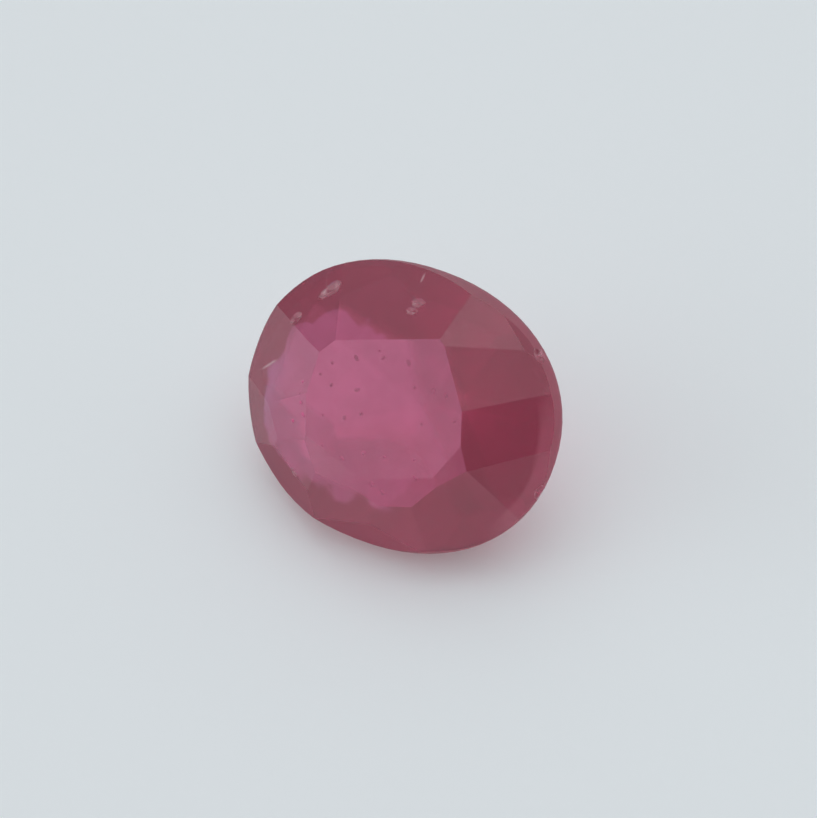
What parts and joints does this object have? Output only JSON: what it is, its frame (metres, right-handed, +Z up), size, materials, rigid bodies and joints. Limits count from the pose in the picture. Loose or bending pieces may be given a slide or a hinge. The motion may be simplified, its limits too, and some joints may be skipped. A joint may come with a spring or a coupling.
{
  "type": "ruby",
  "caption": "Loose oval ruby in a hand-ground mixed cut, with a flat table, uneven crown facets, a rounded chipped girdle and a deep pavilion. It lies on a pavilion facet.",
  "frame": {"origin": "middle of the underside of the stone's box, on the surface that it lies on", "axes": "+X along the stone's length, +Z up, with the table leaning towards -Y"},
  "size_m": [0.0084, 0.0056, 0.0058],
  "materials": {
    "ruby": "polished clear red crystal with a cloudy pink inside, frosted at the girdle"
  },
  "bodies": {
    "root": {"ruby": "ruby"}
  },
  "joints": []
}
